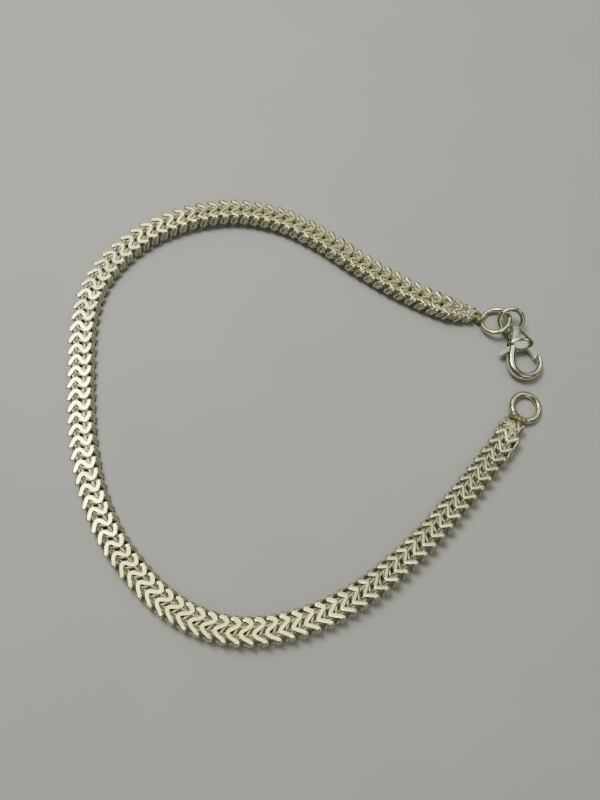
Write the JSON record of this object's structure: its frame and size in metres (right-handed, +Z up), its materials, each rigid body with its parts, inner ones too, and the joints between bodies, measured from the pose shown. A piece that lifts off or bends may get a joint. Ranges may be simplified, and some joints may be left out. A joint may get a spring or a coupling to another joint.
{
  "type": "chain bracelet",
  "caption": "Flat woven chain bracelet lying open, with soldered end rings, a jump ring and a sprung lobster clasp.",
  "frame": {"origin": "centre of the laid-out bracelet, on the surface it lies on", "axes": "+Z up off the surface, +X from the loop's far side towards the clasp and the opening, +Y from the free end's ring towards the clasp"},
  "size_m": [0.07, 0.0658, 0.0031],
  "materials": {
    "chain_silver": "bright-cut warm silver links with darker gaps between them",
    "ring_silver": "polished silver wire",
    "clasp_silver": "polished whiter silver casting"
  },
  "bodies": {
    "bracelet": {"chain": "chain_silver", "end_ring_clasp": "ring_silver", "end_ring_free": "ring_silver", "jump_ring": "ring_silver", "clasp_body": "clasp_silver", "clasp_rivet": "clasp_silver"},
    "lever": {"clasp_lever": "clasp_silver"}
  },
  "joints": [
    {"name": "lever_hinge", "type": "hinge", "parent": "bracelet", "child": "lever", "pos_m": [0.03243, 0.0095, 0.00125], "axis": [0, 0, -1], "range_deg": [0, 25], "stiffness_Nm_per_rad": 0.002, "springref_deg": -34.38}
  ]
}
